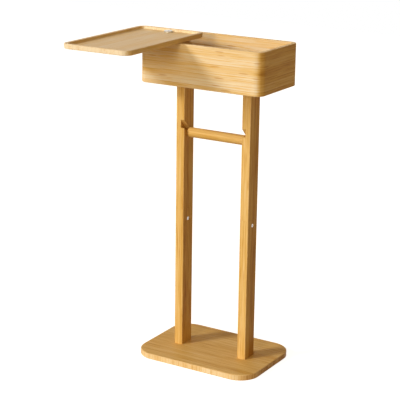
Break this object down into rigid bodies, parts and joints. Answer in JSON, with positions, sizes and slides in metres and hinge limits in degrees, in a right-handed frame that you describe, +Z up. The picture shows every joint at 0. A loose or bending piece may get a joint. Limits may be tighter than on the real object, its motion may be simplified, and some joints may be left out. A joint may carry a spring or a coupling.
{
  "type": "toilet roll stand with shelf",
  "caption": "Free-standing bamboo toilet roll stand: two posts on a rounded base, a lift-out roll bar, a storage box and a swivelling tray lid.",
  "frame": {"origin": "middle of the base's underside, on the floor", "axes": "+Z up, +X along the shelf to the viewer's right, +Y towards the back; the bar's slots open at the front, -Y"},
  "size_m": [0.326, 0.3475, 0.6585],
  "materials": {
    "bamboo": "satin lacquer",
    "steel": "zinc plated",
    "brass": "turned",
    "nylon": "matte"
  },
  "bodies": {
    "stand": {"base_board": "bamboo", "box_floor": "bamboo", "box_wall": "bamboo", "left_base_bolts": "steel", "left_base_inserts": "brass", "left_floor_bolts": "steel", "left_floor_inserts": "brass", "left_post_lower": "bamboo", "left_post_upper": "bamboo", "left_splice_insert": "brass", "left_splice_screw": "steel", "lower_washer": "nylon", "pivot_block": "bamboo", "pivot_block_screws": "steel", "pivot_bolt": "steel", "pivot_insert": "brass", "right_base_bolts": "steel", "right_base_inserts": "brass", "right_floor_bolts": "steel", "right_floor_inserts": "brass", "right_post_lower": "bamboo", "right_post_upper": "bamboo", "right_splice_insert": "brass", "right_splice_screw": "steel", "upper_washer": "nylon"},
    "lid": {"lid_tray": "bamboo"},
    "bar": {"roll_bar": "bamboo"}
  },
  "joints": [
    {"name": "lid_swivel", "type": "hinge", "parent": "stand", "child": "lid", "pos_m": [-0.116, 0, 0.649], "axis": [0, 0, 1], "continuous": true},
    {"name": "bar_lift", "type": "slide", "parent": "stand", "child": "bar", "axis": [0, -0.6947, 0.7193], "range_m": [0, 0.06]}
  ]
}
